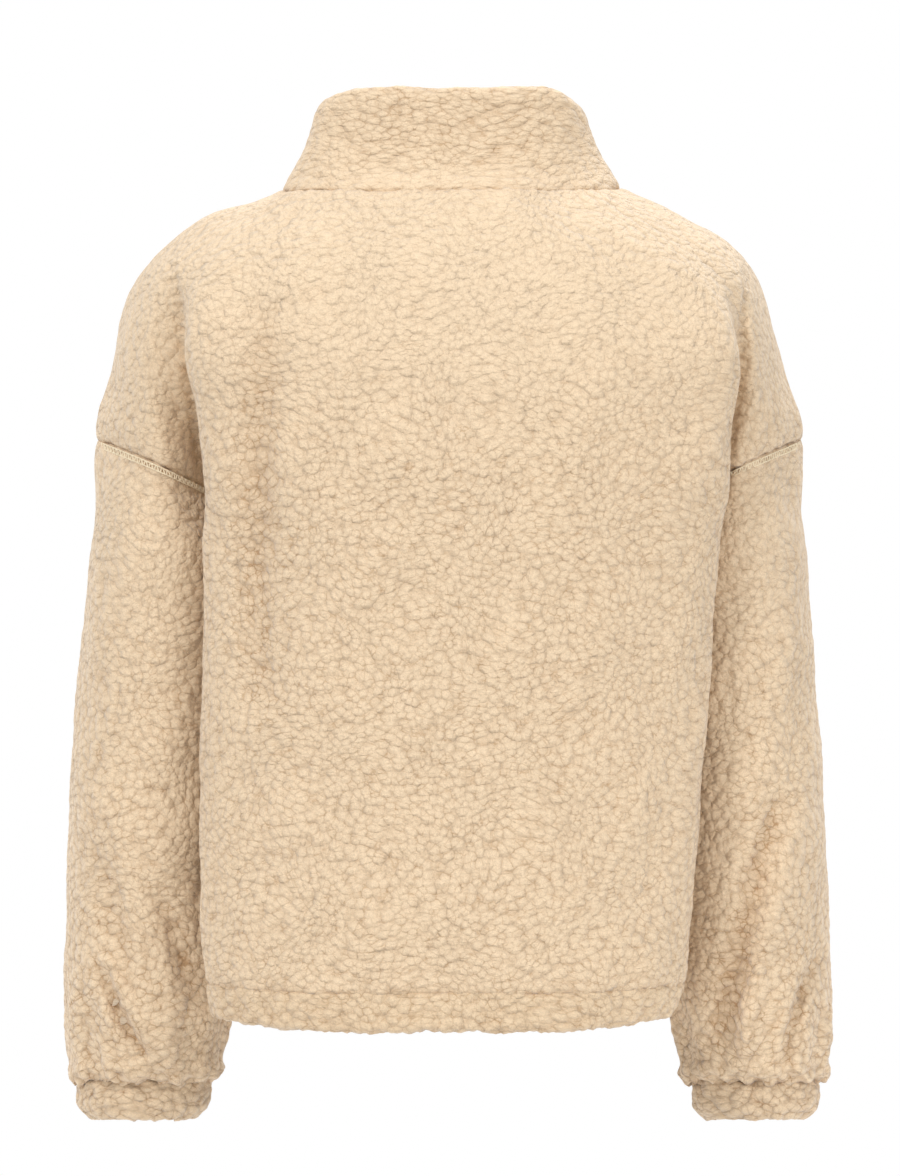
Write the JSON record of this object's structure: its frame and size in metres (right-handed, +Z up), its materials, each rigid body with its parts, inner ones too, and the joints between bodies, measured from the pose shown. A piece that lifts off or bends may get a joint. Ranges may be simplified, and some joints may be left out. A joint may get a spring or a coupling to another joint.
{
  "type": "sherpa fleece jacket",
  "caption": "Boxy cropped sherpa fleece jacket with dropped shoulders, a high stand collar, a front zip and gathered cuffs, filled out as worn with no wearer.",
  "frame": {"origin": "midway between the two neck points, on the line where the wearer's shoulders carry the jacket", "axes": "+Z up the back, -Y out of the front, +X to the wearer's left"},
  "size_m": [0.5231, 0.2498, 0.7031],
  "materials": {
    "sherpa_fleece": "curly cream sherpa pile",
    "collar_sherpa": "curly cream sherpa pile, double",
    "band_sherpa": "curly cream sherpa pile, double",
    "zip_tape": "woven tape with moulded teeth",
    "zip_metal": "satin"
  },
  "bodies": {
    "jacket": {"back_panel": "sherpa_fleece", "front_left": "sherpa_fleece", "front_right": "sherpa_fleece", "sleeve_left": "sherpa_fleece", "sleeve_right": "sherpa_fleece", "cuff_left": "band_sherpa", "cuff_right": "band_sherpa", "collar": "collar_sherpa", "hem_back": "band_sherpa", "hem_front_left": "band_sherpa", "hem_front_right": "band_sherpa", "zip_tape_left": "zip_tape", "zip_tape_right": "zip_tape", "zip_slider": "zip_metal", "zip_box": "zip_metal"},
    "pull_tab": {"zip_pull": "zip_metal"}
  },
  "joints": [
    {"name": "pull_tab_swing", "type": "hinge", "parent": "jacket", "child": "pull_tab", "pos_m": [0, -0.08233, 0.00004], "axis": [-1, 0, 0], "range_deg": [0, 165]}
  ]
}
